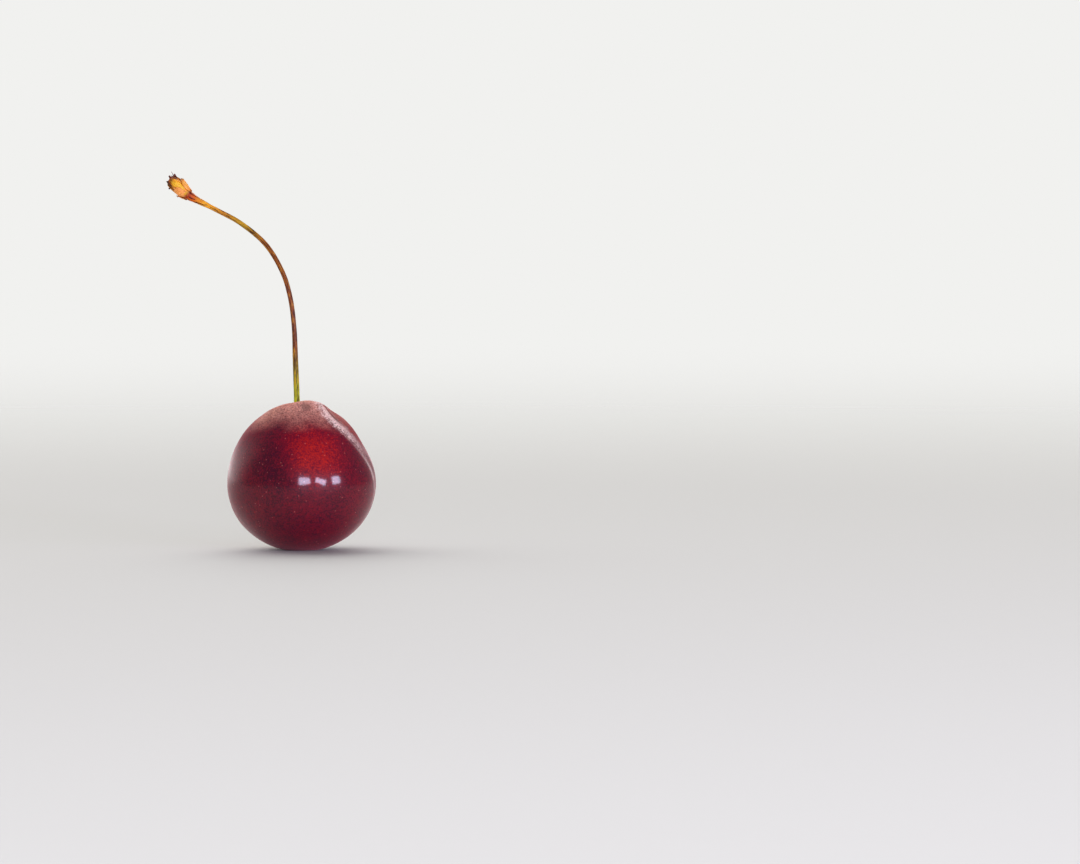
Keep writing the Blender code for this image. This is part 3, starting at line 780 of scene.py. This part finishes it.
def tornTree(material):
    tree, sizes, end = newTree("tornEndShape", tornShape)
    joined = addNode(tree, "GeometryNodeJoinGeometry")
    for stub in tornStubs:
        turn = stub["turn"] * degree
        splay = stub["splay"] * degree
        outward = knobFront * math.cos(turn) + knobUpper * math.sin(turn)
        place = knobFoot + knobAxis * (knobLength + stub["reach"]) + outward * stub["out"]
        towards = knobAxis * math.cos(splay) + outward * math.sin(splay)
        tip = addNode(tree, "Math", [sizes["Taper"], stub["width"] / 2], operation="MULTIPLY")
        cone = addNode(tree, "GeometryNodeMeshCone",
                       {"Vertices": sizes["Sides"], "Side Segments": sizes["Steps"], "Radius Top": tip,
                        "Radius Bottom": stub["width"] / 2, "Depth": stub["length"]})
        turned = addNode(tree, "GeometryNodeTransform",
                         {"Geometry": cone.outputs["Mesh"], "Translation": tuple(place),
                          "Rotation": tuple(towards.to_track_quat("Z", "Y").to_euler())})
        tree.links.new(turned.outputs[0], joined.inputs[0])
    # ragged all over
    here = addNode(tree, "GeometryNodeInputPosition")
    ragScale = addNode(tree, "Math", [1.0, sizes["Rag size"]], operation="DIVIDE")
    rags = addNode(tree, "TexNoise", {"Vector": here, "Scale": ragScale, "Detail": 2.0})
    ragLevel = addNode(tree, "VectorMath", [rags.outputs["Color"], (0.5, 0.5, 0.5)], operation="SUBTRACT")
    ragPush = addNode(tree, "VectorMath", {0: ragLevel, "Scale": sizes["Rag depth"]}, operation="SCALE")
    ragged = addNode(tree, "GeometryNodeSetPosition", {"Geometry": joined, "Offset": ragPush})
    placed = addNode(tree, "GeometryNodeTransform", {"Geometry": ragged, "Scale": (mm,) * 3})
    endTree(tree, placed, material, end)
    return tree


# Torn stalk fibre: wood fibres dried dark where they broke off. They give the eye small maroon tips.
tornLook = {"dark": "#2e0506", "light": "#8a3018", "darkTo": 0.42, "lightFrom": 0.7, "fibreMm": 0.4,
            "sockets": {"Roughness": 0.6, "Specular IOR Level": 0.25}}


def tornMaterial():
    material, tree, shader = newMaterial("driedFibre", tornLook["sockets"])
    fibres = addNode(tree, "TexNoise",
                     {"Vector": placeInMm(tree), "Scale": 1 / tornLook["fibreMm"], "Detail": 1.0})
    ramp = addNode(tree, "ValToRGB", [fibres])
    dark, light = ramp.color_ramp.elements
    dark.position = tornLook["darkTo"]
    dark.color = hexColour(tornLook["dark"])
    light.position = tornLook["lightFrom"]
    light.color = hexColour(tornLook["light"])
    feed(tree, shader, {"Base Color": ramp})
    return material


tornPiece = growMesh("tornEnd", bpy.data.meshes.new("tornSeed"), tornTree(tornMaterial()), tornShape)
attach(tornPiece, "root")


# floor, light and camera

# metres; the sky is bright from behind, above and a little from the left, dim on the camera's side
studio = {
    "floorRadius": 3.0, "floorTone": "#d3d1cc", "backTone": "#f1f1ef", "fadeStart": 0.12, "fadeEnd": 2.6,
    "skyBright": 2.1, "skyDark": 0.25, "skyTowards": (-0.28, 0.77, 0.57), "skyEdge": 0.28,
}


def makeFloor():
    bm = bmesh.new()
    bmesh.ops.create_circle(bm, cap_ends=True, segments=96, radius=studio["floorRadius"])
    mesh = bpy.data.meshes.new("floor")
    bm.to_mesh(mesh)
    bm.free()
    floor = bpy.data.objects.new("floor", mesh)
    scene.collection.objects.link(floor)
    material, tree, shader = newMaterial(
        "mattPaper", {"Base Color": hexColour(studio["floorTone"]), "Roughness": 0.8,
                      "Specular IOR Level": 0.2})
    # the floor melts into the backdrop, so there is no hard horizon
    coords = addNode(tree, "TexCoord")
    away = addNode(tree, "VectorMath", [coords.outputs["Object"]], operation="LENGTH")
    steps = addNode(tree, "Math", [away.outputs["Value"], 10.0], operation="LOGARITHM")
    fade = addNode(tree, "MapRange",
                   [steps, math.log10(studio["fadeStart"]), math.log10(studio["fadeEnd"])],
                   interpolation_type="SMOOTHERSTEP")
    clear = addNode(tree, "BsdfTransparent")
    melt = addNode(tree, "MixShader", [fade, shader, clear])
    feed(tree, tree.nodes["Material Output"], {"Surface": melt})
    mesh.materials.append(material)


def makeSky():
    world = bpy.data.worlds.new("studio")
    scene.world = world
    world.use_nodes = True
    tree = world.node_tree
    coords = addNode(tree, "TexCoord")
    lean = addNode(tree, "VectorMath", [coords.outputs["Generated"], studio["skyTowards"]],
                   operation="DOT_PRODUCT")
    bright = addNode(tree, "MapRange",
                     [lean.outputs["Value"], studio["skyEdge"], 1.0, studio["skyDark"],
                      studio["skyBright"]], interpolation_type="SMOOTHSTEP")
    light = addNode(tree, "Background", {"Color": (1.0, 1.0, 1.0, 1.0), "Strength": bright})
    seen = addNode(tree, "Background", {"Color": hexColour(studio["backTone"]), "Strength": 1.0})
    path = addNode(tree, "LightPath")
    pick = addNode(tree, "MixShader", [path.outputs["Is Camera Ray"], light, seen])
    feed(tree, tree.nodes["World Output"], {"Surface": pick})


fruitMiddle = Vector((0.0, 0.0, 12.5 * mm))
# metres, and degrees for the panes: turn from the front towards +X, rise, width and height as seen from
# the fruit, and slant in the pane's own plane
window = {
    "distance": 0.9, "radiance": 25.0, "colour": "#dedcff",
    "panes": [
        {"turn": 3.0, "rise": 7.0, "width": 15.0, "height": 7.5, "power": 1.2, "slant": 4.0},
        {"turn": 29.0, "rise": 6.5, "width": 17.0, "height": 8.0, "power": 1.2, "slant": -20.0},
        {"turn": 52.0, "rise": 7.0, "width": 11.0, "height": 8.5, "power": 1.15, "slant": 6.0},
    ],
}


def aimed(name, data, place, target):
    made = bpy.data.objects.new(name, data)
    scene.collection.objects.link(made)
    made.location = place
    made.rotation_euler = (target - place).to_track_quat("-Z", "Y").to_euler()
    return made


def makeWindow():
    for number, pane in enumerate(window["panes"], 1):
        turn = pane["turn"] * degree
        rise = pane["rise"] * degree
        towards = Vector((math.sin(turn) * math.cos(rise), -math.cos(turn) * math.cos(rise),
                          math.sin(rise)))
        lamp = bpy.data.lights.new(f"pane{number}", "AREA")
        lamp.shape = "RECTANGLE"
        lamp.size = 2 * window["distance"] * math.tan(pane["width"] * degree / 2)
        lamp.size_y = 2 * window["distance"] * math.tan(pane["height"] * degree / 2)
        # power for the same brightness over each pane
        lamp.energy = window["radiance"] * pane["power"] * lamp.size * lamp.size_y * math.pi
        lamp.color = hexColour(window["colour"])[:3]
        made = aimed(lamp.name, lamp, fruitMiddle + towards * window["distance"], fruitMiddle)
        made.rotation_euler.rotate_axis("Z", pane["slant"] * degree)
        made.visible_camera = False


# level with the fruit's front, a little above, with the fruit left of the frame's centre; metres,
# degrees, and millimetres for what is seen
cameraSet = {"distance": 0.6, "rise": 3.0, "centreAcross": 40.2, "centreUp": 7.2, "mmAcross": 182.5}


def makeCamera():
    lens = bpy.data.cameras.new("camera")
    rise = cameraSet["rise"] * degree
    place = fruitMiddle + Vector((0.0, -math.cos(rise), math.sin(rise))) * cameraSet["distance"]
    target = fruitMiddle + Vector((cameraSet["centreAcross"], 0.0, cameraSet["centreUp"])) * mm
    camera = aimed("camera", lens, place, target)
    lens.sensor_width = 36.0
    lens.lens = lens.sensor_width * (target - place).length / (cameraSet["mmAcross"] * mm)
    lens.clip_start = 0.01
    lens.clip_end = 20.0
    scene.camera = camera


makeFloor()
makeSky()
makeWindow()
makeCamera()
scene.view_settings.view_transform = "Standard"
print("studio ready")
